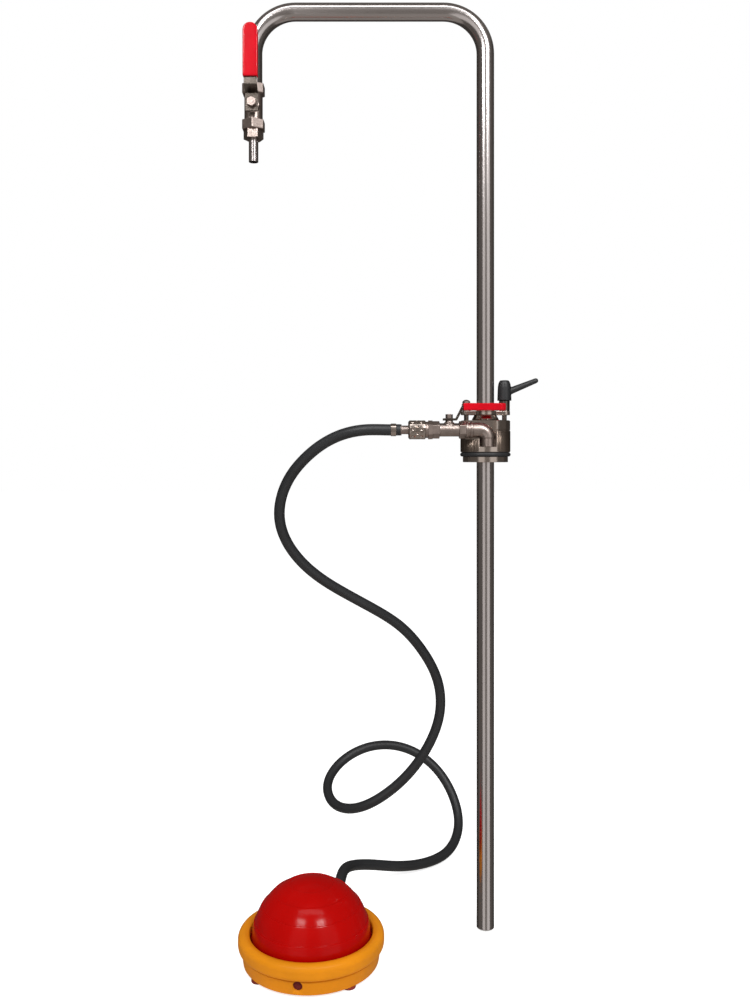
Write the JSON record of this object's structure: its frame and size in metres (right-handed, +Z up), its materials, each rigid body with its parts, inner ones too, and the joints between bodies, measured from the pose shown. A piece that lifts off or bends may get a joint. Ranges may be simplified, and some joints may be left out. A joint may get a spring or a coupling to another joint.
{
  "type": "drum_pump",
  "caption": "Foot-operated drum pump: bent steel riser through a clamped bung plug, an outlet valve and spout, an air branch with a ball valve and coupler, a hose and a domed foot pump",
  "frame": {"origin": "centre of the bung seat, the upper face of the spigot that the seal ring lies on, on the riser's axis", "axes": "+Z up along the riser, +X away from the spout, +Y to the rear; the valve levers face -Y"},
  "size_m": [0.3722, 0.478, 1.165],
  "materials": {
    "stainless_tube": "polished stainless steel tube",
    "valve_metal": "satin nickel-plated or stainless fittings",
    "turned_steel": "turned stainless steel",
    "dark_steel": "plain steel, a little darker",
    "spring_steel": "spring wire",
    "ball_chrome": "chrome-plated valve balls",
    "white_ptfe": "white sealing plastic",
    "red_vinyl": "dipped red vinyl grips",
    "red_plastic": "glossy red moulded rubbery plastic",
    "amber_plastic": "orange-yellow moulded plastic",
    "black_plastic": "black moulded plastic",
    "black_rubber": "black rubber",
    "foot_rubber": "dark red-brown rubber feet",
    "filter_foam": "dark red intake foam"
  },
  "bodies": {
    "head": {"plug_body": "turned_steel", "spigot_disc": "turned_steel", "spigot_screws": "dark_steel", "bung_seal": "black_rubber", "gland_packing": "black_rubber", "draw_rods": "dark_steel", "stop_nut": "valve_metal", "air_elbow": "valve_metal", "air_union": "valve_metal", "air_valve_body": "valve_metal", "air_valve_seats": "white_ptfe", "coupler_body": "valve_metal", "coupler_spring": "spring_steel", "hose_tail": "valve_metal", "hose_clamp": "turned_steel", "hose": "black_rubber", "hose_port": "black_plastic", "pump_base": "amber_plastic", "base_plate": "amber_plastic", "intake_filter": "filter_foam", "base_screws": "dark_steel", "base_feet": "foot_rubber", "outlet_cup": "black_plastic", "outlet_pin": "valve_metal", "inlet_pin": "valve_metal", "dome": "red_plastic", "return_spring": "spring_steel"},
    "gland": {"gland_bush": "white_ptfe"},
    "riser": {"riser_tube": "stainless_tube", "outlet_valve_body": "valve_metal", "outlet_valve_seats": "white_ptfe", "spout_adaptor": "valve_metal", "spout": "stainless_tube"},
    "outlet_control": {"outlet_ball": "ball_chrome", "outlet_stem": "valve_metal", "outlet_lever": "dark_steel", "outlet_grip": "red_vinyl", "outlet_lever_nut": "valve_metal"},
    "air_control": {"air_ball": "ball_chrome", "air_stem": "valve_metal", "air_lever": "dark_steel", "air_grip": "red_vinyl", "air_lever_nut": "valve_metal"},
    "coupler_slide": {"coupler_sleeve": "turned_steel"},
    "yoke": {"gland_collar": "turned_steel", "yoke_plate": "turned_steel"},
    "clamp_nut": {"clamp_insert": "dark_steel", "clamp_screw": "valve_metal", "clamp_spring": "spring_steel"},
    "clamp_grip": {"clamp_handle": "black_plastic"},
    "tread": {"spring_seat": "black_plastic"},
    "outlet_check": {"outlet_flap": "black_rubber"},
    "inlet_check": {"inlet_flap": "black_rubber"}
  },
  "joints": [
    {"name": "riser_swivel", "type": "hinge", "parent": "head", "child": "gland", "pos_m": [0, 0, 0.02], "axis": [0, 0, 1], "continuous": true},
    {"name": "riser_slide", "type": "slide", "parent": "gland", "child": "riser", "axis": [0, 0, 1], "range_m": [0, 0.3]},
    {"name": "outlet_turn", "type": "hinge", "parent": "riser", "child": "outlet_control", "pos_m": [-0.292, 0, 0.439], "axis": [0, 1, 0], "range_deg": [-90, 0]},
    {"name": "air_turn", "type": "hinge", "parent": "head", "child": "air_control", "pos_m": [-0.0475, -0.025, 0.033], "axis": [0, 0, 1], "range_deg": [-90, 0]},
    {"name": "coupler_pull", "type": "slide", "parent": "head", "child": "coupler_slide", "axis": [1, 0, 0], "range_m": [0, 0.003], "stiffness_N_per_m": 2000},
    {"name": "gland_draw", "type": "slide", "parent": "head", "child": "yoke", "axis": [0, 0, -1], "range_m": [-0.00033, 0.00033], "deforming": ["gland_packing"]},
    {"name": "clamp_turn", "type": "hinge", "parent": "yoke", "child": "clamp_nut", "pos_m": [0.024, 0, 0.07], "axis": [0, 0, 1], "range_deg": [-119, 119]},
    {"name": "clamp_lift", "type": "slide", "parent": "clamp_nut", "child": "clamp_grip", "axis": [0, 0, 1], "range_m": [0, 0.004], "stiffness_N_per_m": 800, "deforming": ["clamp_spring"]},
    {"name": "tread_press", "type": "slide", "parent": "head", "child": "tread", "axis": [0, 0, -1], "range_m": [0, 0.034], "stiffness_N_per_m": 2500, "deforming": ["dome", "return_spring"]},
    {"name": "outlet_check_lift", "type": "slide", "parent": "head", "child": "outlet_check", "axis": [0, 0, -1], "range_m": [0, 0.002], "stiffness_N_per_m": 50},
    {"name": "inlet_check_lift", "type": "slide", "parent": "head", "child": "inlet_check", "axis": [0, 0, 1], "range_m": [0, 0.002], "stiffness_N_per_m": 50}
  ],
  "couplings": [
    {"joint": "clamp_turn", "follows": "gland_draw", "rad_per_m": -6283.2}
  ]
}
